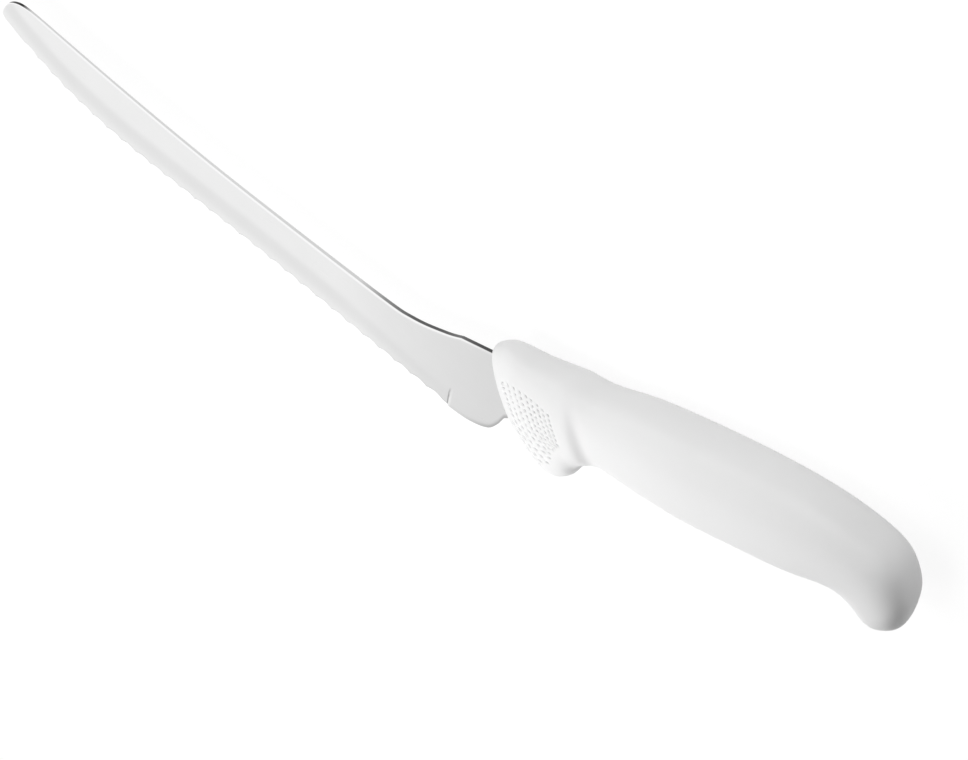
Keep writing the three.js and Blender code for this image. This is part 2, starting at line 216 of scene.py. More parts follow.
# Steel: tones by the share of the blade's length ahead of the handle
FLANK_TONES = ((0.0, 0.70), (0.07, 0.73), (0.2, 0.79), (0.3, 0.845), (1.0, 0.86))
BAND_TONES = ((0.08, 0.715), (0.16, 0.735), (0.25, 0.775))
# Painted highlight: the ground band lightens towards the edge
EDGE_HIGHLIGHT_TONES = ((0.08, 0.72), (0.16, 0.77), (0.25, 0.85))
# Painted dark: painted reflection of dark surroundings on the spine's face, and painted shade along the
# heel's foot
PAINTED_DARK_TONES = (
    (0.0, 0.07), (0.03, 0.09), (0.06, 0.165), (0.1, 0.1), (0.15, 0.12), (0.2, 0.27), (0.235, 0.52),
    (0.25, 0.61), (0.5, 0.66), (0.85, 0.64), (0.922, 0.6), (0.942, 0.012), (0.975, 0.012), (0.99, 0.5),
)
# Painted highlight along the spine's rounded corner, weaker near the handle, and its tone
RIM_HIGHLIGHT_STRENGTH = ((0.0, 0.3), (0.06, 1.0))
RIM_HIGHLIGHT_TONE = 0.96
# Tone of the painted shade on the step at the heel
PLUNGE_SHADE_TONE = 0.25
STROKE_STRETCH = (70, 4200, 70)
FLANK_STROKE_TURN = 0.25
BAND_STROKE_TURN = 1.82
BAND_STROKE_FINENESS = 0.8
STROKE_SWING = 0.05
STROKE_BASE = 0.965
STROKE_HEIGHT = 0.02
CLOUD_SCALE = 90.0
CLOUD_SWING = 0.04
CLOUD_BASE = 0.985
STEEL_ROUGHNESS = 0.24
GROUND_ROUGHNESS = 0.06
STROKE_ROUGHNESS = 0.12

# Polymers: level of the colour, fineness and height of the grain, and roughness
GRIP_FINISH = {"level": 0.88, "fineness": 5000.0, "rough": 0.4, "height": 0.04}
CORE_FINISH = {"level": 0.7, "fineness": 3500.0, "rough": 0.55, "height": 0.03}
POLYMER_SWING = 0.015
POLYMER_WARM = 0.002
POLYMER_COOL = -0.001
POLYMER_TONE_SCALE = 55.0
GRAIN_ROUGHNESS = 0.12
DOT_SHADE = 0.4

# Studio: the camera's place is in the drawing, the rest is in metres. A lamp has its place, the level to
# which it lights a white face that is turned to it, and its size.
CAMERA_PLACE = (206.448, 344.226, 269.886)
CAMERA_RIGHT = (0.78498, 0.00746, -0.61947)
CAMERA_UP = (-0.45307, 0.68890, -0.56582)
CAMERA_BACK = (0.42253, 0.72482, 0.54415)
CAMERA_LENS = 63.21
CAMERA_SENSOR = 36
FLOOR_HALF = 6
FLOOR_BOUNCE = 0.8
FLOOR_SHADE = 0.16
FLOOR_GLOW = ((0.18, 0.9), (0.3, 1.0))
SKY_LEVEL = 0.02
LAMPS = (
    ("top", (-0.05, 0, 0.35), 0.595, 0.25),
    ("front", (0, -0.28, 0.2), 0.58, 0.25),
    ("rim", (0.2, 0.4, 0.1), 0.355, 0.25),
    ("left", (-0.6, 0.66, 0.6), 0.258, 0.8),
)


def drawing_origin():
    """The drawing's origin, from where the frame has the blade and the grip."""
    blade_low, blade_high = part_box("blade")
    grip_low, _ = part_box("handle_grip")
    x = grip_low.x / MM - NOSE_SETBACK * GUARD_LENGTH
    y = blade_low.y / MM + HEEL_DEPTH
    z = (blade_low.z + blade_high.z) / 2 / MM
    return Vector([round(value, 4) for value in (x, y, z)])


DRAWING_ORIGIN = drawing_origin()


def in_frame(x, y, z):
    """A point of the drawing, in metres in the frame."""
    return (Vector((x, y, z)) + DRAWING_ORIGIN) * MM


def lerp(a, b, share):
    return a + (b - a) * share


def evenly(count):
    """Even shares from 0 to 1."""
    return [k / count for k in range(count + 1)]


def smooth_step(low, high, value):
    share = min(max((value - low) / (high - low), 0), 1)
    return share * share * (3 - 2 * share)


def soft_min(a, b, softness):
    share = min(max(0.5 + 0.5 * (b - a) / softness, 0), 1)
    return lerp(b, a, share) - softness * share * (1 - share)


def through(points, place, free_ends):
    """A smooth curve through points; place counts one from each point to the next."""
    last = len(points) - 1
    i = min(int(place), last - 1)
    t = place - i
    start, stop = points[i], points[i + 1]
    before = points[i - 1] if i else (2 * start - stop if free_ends else start)
    after = points[i + 2] if i + 2 <= last else (2 * stop - start if free_ends else stop)
    leave, arrive = (stop - before) / 2, (after - start) / 2
    bend = 2 * start - 2 * stop + leave + arrive
    swing = 3 * stop - 3 * start - 2 * leave - arrive
    return ((bend * t + swing) * t + leave) * t + start


def dense(points):
    last = (len(points) - 1) * CURVE_STEPS
    return [through(points, k / CURVE_STEPS, False) for k in range(last + 1)]


def bezier(a, b, c, d, t):
    ab, bc, cd = a.lerp(b, t), b.lerp(c, t), c.lerp(d, t)
    return ab.lerp(bc, t).lerp(bc.lerp(cd, t), t)


class Path:
    """A line through close points, asked for the point at a distance along it."""

    def __init__(self, points):
        self.points = points
        self.marks = [0.0]
        for a, b in zip(points, points[1:]):
            self.marks.append(self.marks[-1] + (b - a).length)
        self.length = self.marks[-1]

    def at(self, distance):
        i = bisect.bisect_right(self.marks, distance) - 1
        i = min(max(i, 0), len(self.points) - 2)
        span = self.marks[i + 1] - self.marks[i]
        return self.points[i].lerp(self.points[i + 1], (distance - self.marks[i]) / span)

    def inward(self, distance):
        """Unit vector from the edge towards the spine, on a path that runs from the tip to the heel."""
        start = self.at(max(distance - EDGE_WAY_REACH, 0))
        step = self.at(min(distance + EDGE_WAY_REACH, self.length)) - start
        return Vector((-step.y, step.x)).normalized()


def new_piece(name, mesh, material):
    piece = bpy.data.objects.new(name, mesh)
    bpy.context.scene.collection.objects.link(piece)
    mesh.materials.clear()
    mesh.materials.append(material)
    return piece


def mesh_from(bm, name):
    mesh = bpy.data.meshes.new(name)
    bm.to_mesh(mesh)
    bm.free()
    return mesh


def carve(mesh, levels, cutters):
    """Subdivides a mesh, takes the cutters out of it and gives back the finished mesh."""
    work = bpy.data.objects.new("work", mesh)
    bpy.context.scene.collection.objects.link(work)
    if levels:
        rounding = work.modifiers.new("rounding", "SUBSURF")
        rounding.levels = levels
        rounding.render_levels = levels
    tools = []
    for cutter in cutters:
        tool = bpy.data.objects.new("cutter", cutter)
        bpy.context.scene.collection.objects.link(tool)
        cut = work.modifiers.new("cut", "BOOLEAN")
        cut.object = tool
        cut.operation = "DIFFERENCE"
        cut.solver = "EXACT"
        tools.append(tool)
    depsgraph = bpy.context.evaluated_depsgraph_get()
    done = bpy.data.meshes.new_from_object(work.evaluated_get(depsgraph), depsgraph=depsgraph)
    for spare in [work] + tools:
        spent = spare.data
        bpy.data.objects.remove(spare)
        bpy.data.meshes.remove(spent)
    return done


def grid_of(columns, rows, masks=()):
    """A flat grid with empty masks and, for each of its vertices, the column and row that it stands for."""
    bm = bmesh.new()
    for name in masks:
        bm.verts.layers.float.new(name)
    bmesh.ops.create_grid(bm, x_segments=columns - 1, y_segments=rows - 1, size=1)
    spots = {v: (round((v.co.x + 1) / 2 * (columns - 1)), round((v.co.y + 1) / 2 * (rows - 1)))
             for v in bm.verts}
    return bm, spots


def close_skin(bm):
    bmesh.ops.remove_doubles(bm, verts=bm.verts, dist=WELD)
    bmesh.ops.recalc_face_normals(bm, faces=bm.faces)


# Blade

def on_blade(share, height):
    return Vector((-share * BLADE_LENGTH, height))


def spine_height(share):
    return lerp(-SPINE_DIP, TIP_RISE, share)


def edge_height(share, width):
    return spine_height(share) - width * BLADE_WIDTH


def tip_height(share):
    return TIP_RISE - share * TIP_HEIGHT


TIP_CORNER = on_blade(0.9955, tip_height(1))
SPINE_POINTS = [
    TIP_CORNER,
    on_blade(1, tip_height(0.78)),
    on_blade(0.988, tip_height(0.41)),
    on_blade(0.974, tip_height(0.16)),
    on_blade(0.959, tip_height(0.03)),
    on_blade(0.9405, tip_height(0)),
    on_blade(0.911, spine_height(0.97)),
    on_blade(0.856, spine_height(0.882)),
    on_blade(0.742, spine_height(0.7)),
    on_blade(0.608, spine_height(0.504)),
    on_blade(0.4715, spine_height(0.328)),
    on_blade(0.216, spine_height(0.042)),
    on_blade(0.146, -SPINE_DIP),
    on_blade(0.0855, lerp(-SPINE_SHOULDER, -SPINE_DIP, 0.53)),
    on_blade(0.0545, -SPINE_SHOULDER),
]
HEEL_FRONT = Vector((-HEEL_PLAIN, HEEL_FRONT_LIFT - HEEL_DEPTH))
EDGE_POINTS = [
    TIP_CORNER,
    on_blade(0.9295, edge_height(0.99, 0.896)),
    on_blade(0.843, edge_height(0.862, 1.0925)),
    on_blade(0.724, edge_height(0.674, 1.115)),
    on_blade(0.4655, edge_height(0.316, 1.007)),
    on_blade(0.2185, edge_height(0.036, 1.09)),
    HEEL_FRONT,
]
HEEL_LOWEST = Vector((-HEEL_PLAIN / 2, -HEEL_DEPTH))
HEEL_CORNER = Vector((HEEL_REAR_SETBACK, HEEL_REAR_LIFT - HEEL_DEPTH))
HEEL_ROUND = Vector((lerp(HEEL_CORNER.x, HEEL_LOWEST.x, 0.35), lerp(HEEL_CORNER.y, HEEL_LOWEST.y, 0.73)))
HEEL_WAY = Vector((math.cos(HEEL_REAR_RISE), math.sin(HEEL_REAR_RISE)))


def on_tang(along, across):
    turn = Matrix.Rotation(TANG_RISE, 2)
    return turn @ Vector((along, across)) + TANG_ROOT


def tang_end(side, grow):
    """A quarter of the tang's round end, from one of its long sides to its middle."""
    centre = TANG_LENGTH - TANG_END_RADIUS
    radius = TANG_END_RADIUS + grow
    return [on_tang(centre + radius * math.sin(a), side * radius * math.cos(a)) for a in QUARTER_TURN]


def heel_rear(grow):
    """The heel's rear side from its corner, and the throat's bend up to the tang's lower side."""
    outwards = Vector((HEEL_WAY.y, -HEEL_WAY.x)) * grow
    corner = HEEL_CORNER + outwards
    rear = corner + HEEL_WAY * HEEL_REAR_LENGTH
    lower = on_tang(TANG_THROAT, -TANG_HALF_HEIGHT - grow)
    throat = Vector((lerp(rear.x, lower.x, THROAT_ALONG), lerp(rear.y, lower.y, THROAT_RISE)))
    return [corner] + [rear.lerp(throat, s).lerp(throat.lerp(lower, s), s) for s in evenly(THROAT_STEPS)]


def tang_seat():
    """What the moulding leaves free round the heel and the tang."""
    front = -HEEL_PLAIN / 2
    outline = [Vector((front, FIT - HEEL_DEPTH)), Vector((front, FIT - SPINE_ENTRY)),
               Vector((0, FIT - SPINE_ENTRY)), on_tang(0, TANG_HALF_HEIGHT + FIT)]
    outline += tang_end(1, FIT) + tang_end(-1, FIT)[-2::-1] + heel_rear(FIT)[::-1]
    half = BLADE_HALF + FIT
    bm = bmesh.new()
    flat = bm.faces.new([bm.verts.new(in_frame(p.x, p.y, -half)) for p in outline])
    walls = bmesh.ops.extrude_face_region(bm, geom=[flat])["geom"]
    raised = [part for part in walls if isinstance(part, bmesh.types.BMVert)]
    bmesh.ops.translate(bm, verts=raised, vec=(0, 0, 2 * half * MM))
    bmesh.ops.recalc_face_normals(bm, faces=bm.faces)
    return mesh_from(bm, "tang_seat")


class Column:
    """One line across the blank from its lower to its upper side, and how it is ground there."""

    def __init__(self, lower, upper, inward, bite=0.0, grind_height=None, scallop_step=None):
        self.lower = lower + inward * bite
        self.bite = bite
        self.grind_height = grind_height
        self.scalloped = scallop_step is not None
        self.cusp = scallop_step == 0
        line = upper - self.lower
        self.width = line.length
        self.way = line.normalized() if self.width else inward
        self.lean = max(self.way.dot(inward), 0.0)

    def depth(self, t):
        """Distance from the line of the cusps."""
        return self.bite + t * self.lean

    def full_half(self, t):
        """Half the blank's thickness before it is ground, at a distance up the column."""
        x = self.lower.x + self.way.x * t
        share = min(max((-x - HEEL_PLAIN) / (BLADE_LENGTH - HEEL_PLAIN), 0), 1)
        return lerp(BLADE_HALF, TIP_HALF, share)

    def half(self, t):
        """Half its thickness once it is ground."""
        full = self.full_half(t)
        if not self.grind_height:
            return full
        slope = (full - EDGE_HALF) / self.grind_height
        return soft_min(full, EDGE_HALF + slope * self.depth(t), GRIND_SOFTNESS)

    def step(self, t):
        """How much of the step down from the plain heel there is, from 0 to 1, which sets the painted shade
        there.
        """
        return min((self.full_half(t) - self.half(t)) / PLUNGE_SHADE_DEPTH, 1)

    def bevel_top(self):
        """How far the bevel at the edge climbs on the far flank."""
        if not self.scalloped:
            return min(PLAIN_EDGE_BEVEL, PLAIN_EDGE_BEVEL_OF_WIDTH * self.width)
        slope = (BLADE_HALF - EDGE_HALF) / self.grind_height
        return min(2 * self.half(0) / (SCALLOP_BEVEL - slope), SCALLOP_BEVEL_OF_WIDTH * self.width)


def edge_stops(length):
    """Distances along the edge from the tip, each with its step in a scallop or None where it is plain."""
    run = length - PLAIN_EDGE_AT_TIP - PLAIN_EDGE_AT_HEEL
    count = round(run / SCALLOP_PITCH) * SCALLOP_STEPS
    stops = [(PLAIN_EDGE_AT_TIP * k / PLAIN_EDGE_STEPS, None) for k in range(PLAIN_EDGE_STEPS)]
    stops += [(PLAIN_EDGE_AT_TIP + run * k / count, k % SCALLOP_STEPS) for k in range(count + 1)]
    heel = length - PLAIN_EDGE_AT_HEEL
    stops += [(heel + PLAIN_EDGE_AT_HEEL * share, None) for share in PLAIN_EDGE_STOPS]
    return stops


def ground_columns():
    edge = Path(dense(EDGE_POINTS))
    spine = Path(dense(SPINE_POINTS))
    columns = []
    for at, step in edge_stops(edge.length):
        place = (step or 0) / SCALLOP_STEPS
        bite = SCALLOP_DEPTH * 4 * place * (1 - place)
        ramp = min((edge.length - at) / GRIND_RAMP, 1)
        height = lerp(GRIND_HEIGHT_AT_HEEL, GRIND_HEIGHT, ramp)
        top = spine.at(spine.length * at / edge.length)
        columns.append(Column(edge.at(at), top, edge.inward(at), bite, height, step))
    return columns


def plain_columns():
    """Columns of the heel and of the tang, which are as thick as the sheet."""
    heel = Path(dense([HEEL_FRONT, HEEL_LOWEST, HEEL_ROUND, HEEL_CORNER])[:-1] + heel_rear(0))
    lower, upper = on_tang(TANG_THROAT, -TANG_HALF_HEIGHT), on_tang(0, TANG_HALF_HEIGHT)
    entry = Vector((0, -SPINE_ENTRY))
    below = [heel, Path([lower] + tang_end(-1, 0))]
    above = [Path([SPINE_POINTS[-1], entry, upper]), Path([upper] + tang_end(1, 0))]
    columns = []
    for low, high, count in zip(below, above, (HEEL_STEPS, TANG_STEPS)):
        for share in evenly(count):
            bottom = low.at(lerp(PLUNGE_RUN, low.length, share))
            top = high.at(lerp(PLUNGE_RUN * high.length / low.length, high.length, share))
            columns.append(Column(bottom, top, Vector((0, 1))))
    return columns


BLADE_MASKS = ("ground", "edge", "stamped", "rim", "plunge_shade", "along")
FACET_ROWS = 4


def mirrored(rows):
    return [(t, -height, stamped, rim) for t, height, stamped, rim in reversed(rows)]


def section(column):
    """The closed loop round one column, as rows of (distance up, height, painted dark, rim highlight).

    A ground column has as many rows as a plain one, so several of its rows lie on the edge.
    """
    top = column.width
    half_top = column.half(top)
    half_foot = column.half(0)
    near_tip = smooth_step(*TIP_RIM_SPAN, -column.lower.x / BLADE_LENGTH)
    rim = min(lerp(RIM_RADIUS, TIP_RIM_RADIUS, near_tip), RIM_OF_HALF * half_top, RIM_OF_WIDTH * top)
    foot = min(HEEL_RIM_RADIUS, RIM_OF_WIDTH * top)
    # Painted shade along the foot of the heel, darker towards its rear
    dark = lerp(HEEL_SHADE_FRONT, HEEL_SHADE_REAR, smooth_step(*HEEL_SHADE_SPAN, column.lower.x))

    def flank(start):
        rows = []
        for share in FLANK_SHARES:
            t = lerp(start, top - rim, share)
            shade = 0 if column.grind_height else dark * (1 - smooth_step(*HEEL_SHADE_FADE, t))
            # The rim mask is a painted highlight on the spine's corner
            bright = 1 - smooth_step(0, RIM_HIGHLIGHT_FADE, top - rim - t)
            rows.append((t, column.half(t), shade, bright))
        return rows

    if column.grind_height:
        near_start, far_start = 0.0, column.bevel_top()
        on_edge = (0.0, half_foot, 0, 0)
        near_foot = [on_edge] * 3
        far_foot = [(far_start, -column.half(far_start), 0, 0)] + [on_edge] * 2
    else:
        near_start = far_start = foot
        near_foot = [(foot * (1 - math.sin(a)), half_foot - foot * (1 - math.cos(a)), dark, 0)
                     for a in FOOT_TURNS]
        far_foot = mirrored(near_foot)
    corner = []
    for a in ROUND_TURNS:
        t = top - rim + rim * math.sin(a)
        # The spine's face gets the painted dark, a painted reflection, and the whole corner gets the painted
        # highlight
        corner.append((t, half_top - rim + rim * math.cos(a), a == ROUND_TURNS[-1], 1))
    near_side = near_foot + flank(near_start) + corner
    far_side = mirrored(corner) + mirrored(flank(far_start)) + far_foot
    return near_side + far_side + near_side[:1]


def tang_hole_cutters():
    cutters = []
    for k in (-1, 0, 1):
        middle = on_tang(TANG_LENGTH / 2 + k * TANG_HOLE_PITCH, 0)
        bm = bmesh.new()
        bmesh.ops.create_cone(bm, cap_ends=True, segments=TANG_HOLE_SIDES, radius1=TANG_HOLE_RADIUS * MM,
                              radius2=TANG_HOLE_RADIUS * MM, depth=6 * BLADE_HALF * MM)
        bmesh.ops.translate(bm, verts=bm.verts, vec=in_frame(middle.x, middle.y, 0))
        cutters.append(mesh_from(bm, "tang_hole"))
    return cutters


def blade(material):
    ground = ground_columns()
    columns = ground + plain_columns()
    loops = [section(c) for c in columns]
    rows = len(loops[0])
    bm, spots = grid_of(len(columns), rows, BLADE_MASKS)
    masks = {name: bm.verts.layers.float[name] for name in BLADE_MASKS}
    last_ground = len(ground) - 1
    for v, (i, j) in spots.items():
        column = columns[i]
        t, height, stamped, rim = loops[i][j]
        spot = column.lower + column.way * t
        v.co = in_frame(spot.x, spot.y, height)
        v[masks["stamped"]] = stamped
        # rim: the painted highlight
        v[masks["rim"]] = rim
        v[masks["along"]] = -spot.x * MM
        if column.grind_height:
            depth = column.depth(t)
            v[masks["ground"]] = 1 - smooth_step(*GROUND_SPAN, depth - column.grind_height)
            # The edge mask carries the painted highlight near the edge
            v[masks["edge"]] = 1 - smooth_step(*EDGE_HIGHLIGHT_SPAN, depth)
        if i == last_ground:
            # Painted shade on the step at the heel, and a painted highlight on the column behind it
            v[masks["plunge_shade"]] = column.step(t)
        if i == last_ground + 1:
            v[masks["rim"]] = max(rim, PLUNGE_HIGHLIGHT * ground[-1].step(t))
    facet = range(rows - FACET_ROWS, rows)
    crisp_rows = (0, facet[0], facet[2])
    for e in bm.edges:
        (i, j), (m, n) = spots[e.verts[0]], spots[e.verts[1]]
        both = max(i, m) <= last_ground
        along_edge = both and j == n and j in crisp_rows
        ridge = both and i == m and columns[i].cusp and j in facet and n in facet
        wall = i == m and i in (last_ground, last_ground + 1)
        e.smooth = not (along_edge or ridge or wall)
    for f in bm.faces:
        f.smooth = True
    close_skin(bm)
    mesh = carve(mesh_from(bm, "blade"), 0, tang_hole_cutters())
    return new_piece("blade_steel", mesh, material)


# Handle

def guard_x(share):
    return share * GUARD_LENGTH


def palm_x(share):
    return lerp(GUARD_LENGTH + WAIST_LENGTH, HANDLE_LENGTH - HOOK_LENGTH, share)


def hook_x(share):
    return lerp(HANDLE_LENGTH - HOOK_LENGTH, HANDLE_LENGTH, share)


def back_y(share):
    return lerp(BACK_HEIGHT_AT_NOSE, BACK_HEIGHT_AT_PALM, share)


def guard_y(share):
    return lerp(-GUARD_DROP, -WAIST_DROP, share)


def palm_y(share):
    return lerp(-PALM_DROP, -HOOK_THROAT_DROP, share)


def hook_y(share):
    return lerp(-HOOK_THROAT_DROP, -HOOK_DROP, share)


def flare(share):
    return lerp(NOSE_WIDTH, CREST_WIDTH, share) / 2


def swell(share):
    return lerp(WAIST_WIDTH, PALM_WIDTH, share) / 2


def taper(share):
    return lerp(PALM_WIDTH, BUTT_WIDTH, share) / 2


# Stations: a line from the back to the belly, half the width at each end of it, the squareness and how far
# the line bows forward
STATIONS = [Vector(s[:7] + (s[7] * NOSE_BOW,)) for s in (
    (guard_x(NOSE_SETBACK), back_y(-0.61), guard_x(0.31), guard_y(0.4), flare(0), flare(0), 4, 1),
    (guard_x(0.045), back_y(-0.37), guard_x(0.445), guard_y(0.19), flare(0.165), flare(0.165), 4, 1),
    (guard_x(0.15), back_y(-0.04), guard_x(0.63), guard_y(0.01), flare(0.41), flare(0.455), 3.6, 0.8),
    (guard_x(0.256), back_y(0), guard_x(0.784), guard_y(0.115), flare(0.62), flare(0.755), 3.2, 0.5),
    (guard_x(0.426), back_y(-0.06), guard_x(0.904), guard_y(0.38), flare(0.77), flare(0.93), 3, 0.28),
    (guard_x(0.585), back_y(0), guard_x(0.962), guard_y(0.684), flare(0.865), flare(0.985), 2.8, 0.1),
    (guard_x(0.772), back_y(0.11), guard_x(1.064), guard_y(0.907), flare(0.93), flare(1), 2.7, 0),
    (guard_x(0.902), back_y(0.11), guard_x(1.167), guard_y(0.977), swell(0.37), swell(0.07), 2.7, 0),
    (palm_x(-0.111), back_y(0.16), palm_x(0), guard_y(1), swell(0.55), swell(0.04), 2.6, 0),
    (palm_x(0.099), back_y(0.57), palm_x(0.138), palm_y(-0.19), swell(0.815), swell(0.48), 2.6, 0),
    (palm_x(0.37), back_y(0.825), palm_x(0.37), palm_y(-0.13), swell(1), swell(0.93), 2.6, 0),
    (palm_x(0.65), back_y(1), palm_x(0.635), palm_y(0.15), swell(1), swell(0.93), 2.6, 0),
    (palm_x(0.898), back_y(1), palm_x(0.874), palm_y(0.48), taper(0.06), taper(0.17), 2.6, 0),
    (hook_x(0.274), back_y(0.73), hook_x(0.084), hook_y(0), taper(0.17), taper(0.34), 2.6, 0),
    (hook_x(0.74), back_y(0.19), hook_x(0.255), hook_y(0.01), taper(0.34), taper(0.51), 2.6, 0),
    (hook_x(0.969), back_y(-0.99), hook_x(0.426), hook_y(0.477), taper(0.57), taper(0.69), 2.6, 0),
    (hook_x(0.993), back_y(-2.02), hook_x(0.538), hook_y(1), taper(0.82), taper(0.82), 2.4, 0),
)]
LAST_STATION = len(STATIONS) - 1
DOME_START = LAST_STATION - DOME_SETBACK


def power(value, exponent):
    return math.copysign(abs(value) ** exponent, value)


def station_middle(place):
    s = through(STATIONS, place, True)
    return Vector(((s[0] + s[2]) / 2, (s[1] + s[3]) / 2))


NOSE_STEP = (station_middle(1) - station_middle(0)).length


def half_ring(place, inset=0.0):
    """The near half of a section of the handle, from the back to the belly."""
    s = through(STATIONS, place, True)
    middle = station_middle(place)
    reach = Vector((s[0], s[1])) - middle
    ahead = Vector((-reach.y, reach.x)).normalized() * s[7]
    reach.length -= inset
    points = []
    for angle in HALF_TURN:
        along = power(math.cos(angle), 2 / s[6])
        width = lerp(s[5], s[4], (along + 1) / 2) - inset
        spot = middle + reach * along + ahead * (1 - along * along)
        points.append(Vector((spot.x, spot.y, width * power(math.sin(angle), 2 / s[6]))))
    return Path(points)


def ring_at(place, inset=0.0, flat=False):
    """A section of the handle as a function of the share of the way from its back to its belly."""
    ring = half_ring(place, inset)

    def point(share):
        spot = ring.at(ring.length * share)
        return Vector((spot.x, spot.y, 0)) if flat else spot
    return point


def lip_ring(turn):
    """A ring of the rounded lip round the nose, from the front face (0) to the side (90 degrees)."""
    return ring_at(NOSE_LIP * (1 - math.cos(turn)) / NOSE_STEP, NOSE_LIP * (1 - math.sin(turn)))


def dome_ring(t):
    """A ring of the butt's dome, at a share of the way along the curves that run from its rim to its top."""
    rim, before = ring_at(DOME_START), ring_at(DOME_START - DOME_RUN_UP)
    s = through(STATIONS, DOME_START, True)
    away = Vector((s[1] - s[3], s[2] - s[0], 0)).normalized()
    top = Vector((lerp(s[0], s[2], DOME_TOP), lerp(s[1], s[3], DOME_TOP), 0)) + away * DOME_HEIGHT

    def point(share):
        start = rim(share)
        onward = start - before(share)
        corner = start + onward * (DOME_HEIGHT / onward.dot(away))
        return bezier(start, start.lerp(corner, DOME_FULLNESS), top.lerp(corner, DOME_FULLNESS), top, t)
    return point


def pad_place(line, share):
    """The pad's columns lean back towards the belly, and the sections far from it stand straight."""
    hold = smooth_step(0, 1, line) * (1 - smooth_step(PAD_LEAN_FADE, PAD_GONE, line))
    return min(line + PAD_LEAN * smooth_step(*PAD_LEAN_SHARES, share) * hold, LAST_STATION)


def pad_share(line, share):
    """The pad's rows bend down towards the belly ahead of its middle and behind it."""
    ahead = PAD_BEND_AHEAD * max(PAD_AHEAD - line, 0) ** 2
    behind = PAD_BEND_BEHIND * max(min(line, PAD_END) - PAD_BEHIND, 0) ** 2
    behind *= 1 - smooth_step(PAD_END, PAD_GONE, line)
    bend = (ahead + behind) * smooth_step(0, PAD_BACK_SHARE, share)
    return share + bend * (1 - smooth_step(PAD_BELLY_SHARE, 1, share))


def crease(place, share):
    """How much the side stands out at the crest behind the guard, and in from it at the waist."""
    u = (place - CREASE_PLACE) / CREASE_REACH
    side = smooth_step(*CREASE_RISE, share) * (1 - smooth_step(*CREASE_FALL, share))
    return -CREASE * u * math.exp(-u * u) * side


def body_ring(line):
    rings = {}

    def point(share):
        place = round(pad_place(line, share), 4)
        if place not in rings:
            rings[place] = ring_at(place)
        spot = rings[place](pad_share(line, share))
        spot.z += crease(place, share)
        return spot
    return point


def ring_shares():
    """Where the rows of the near side lie, as shares of the way from the back to the belly."""
    first = DOT_ROW_FIRST - DOT_ROW_PITCH * DOT_ROW_FILL / 2
    last = first + DOT_ROWS * DOT_ROW_PITCH
    rows = [first * k / BACK_STEPS for k in range(BACK_STEPS)]
    for k in range(DOT_ROWS):
        rows += [first + DOT_ROW_PITCH * k, first + DOT_ROW_PITCH * (k + DOT_ROW_FILL)]
    rows += [lerp(last, 1, share) for share in evenly(BELLY_STEPS)]
    return rows


def place_lines():
    """Where the rings stand along the handle, and which of them start a column of dots."""
    lines = [FIRST_RING * NOSE_LIP / NOSE_STEP]
    starts = {}
    for column in DOT_COLUMNS:
        middle, half = column[:2]
        if middle - half - lines[-1] > WIDEST_GAP:
            lines.append((lines[-1] + middle - half) / 2)
        starts[len(lines)] = column
        lines += [middle - half, middle + half]
    behind = lines[-1]
    lines += [lerp(behind, PAD_TAIL, share) for share in evenly(PAD_TAIL_RINGS)[1:]]
    lines += [lerp(PAD_TAIL, DOME_START, share) for share in evenly(BODY_RINGS)[1:]]
    return lines, starts


def skin_over(rings, shares, masks=()):
    """A skin over half sections and their mirror image, with the spot in its grid of each vertex."""
    half = len(shares) - 1
    bm, spots = grid_of(len(rings), 2 * half + 1, masks)
    for v, (i, j) in spots.items():
        far = j > half
        spot = rings[i](shares[2 * half - j if far else j])
        v.co = in_frame(spot.x, spot.y, -spot.z if far else spot.z)
    return bm, spots


def handle_skin():
    """The outside of the grip, with its dots pressed in on both sides."""
    lines, starts = place_lines()
    rings = [ring_at(0, NOSE_FACE_INSET, flat=True), ring_at(0, NOSE_FACE_INSET)]
    rings += [lip_ring(turn) for turn in ROUND_TURNS]
    head = len(rings)
    rings += [body_ring(line) for line in lines]
    rings += [dome_ring(t) for t in evenly(DOME_RINGS)[1:]]
    shares = ring_shares()
    half = len(shares) - 1
    bm, spots = skin_over(rings, shares, ("dot",))
    dots = []
    for f in bm.faces:
        f.smooth = True
        column = starts.get(min(spots[v][0] for v in f.verts) - head)
        rows = sorted({spots[v][1] for v in f.verts})
        row = (min(rows[0], 2 * half - rows[1]) - BACK_STEPS) / 2
        if column and row in range(column[2], column[3] + 1):
            dots.append(f)
    close_skin(bm)
    for inset, depth in ((DOT_WALL, DOT_DEPTH), (DOT_FLOOR_INSET, DOT_FLOOR_DEPTH)):
        bmesh.ops.inset_individual(bm, faces=dots, thickness=inset * MM, depth=-depth * MM)
    shade = bm.verts.layers.float["dot"]
    for f in dots:
        for v in f.verts:
            v[shade] = 1
    return mesh_from(bm, "grip")


def core_space():
    """The space inside the grip that the rigid core fills."""
    first = CORE_FIRST_STATION - FIT / NOSE_STEP
    last = CORE_LAST_STATION + FIT / NOSE_STEP
    places = [lerp(first, last, share) for share in evenly(CORE_RINGS)]
    rings = [ring_at(first, SKIN, flat=True)] + [ring_at(p, SKIN) for p in places]
    rings.append(ring_at(last, SKIN, flat=True))
    bm, _ = skin_over(rings, evenly(CORE_ROWS))
    close_skin(bm)
    return mesh_from(bm, "core_space")


def grip(material):
    mesh = carve(handle_skin(), 1, [core_space(), tang_seat()])
    return new_piece("grip_skin", mesh, material)


# Finishes

def socket(group, name, in_out, kind, default=None):
    made = group.interface.new_socket(name=name, in_out=in_out, socket_type=kind)
    if default is not None:
        made.default_value = default


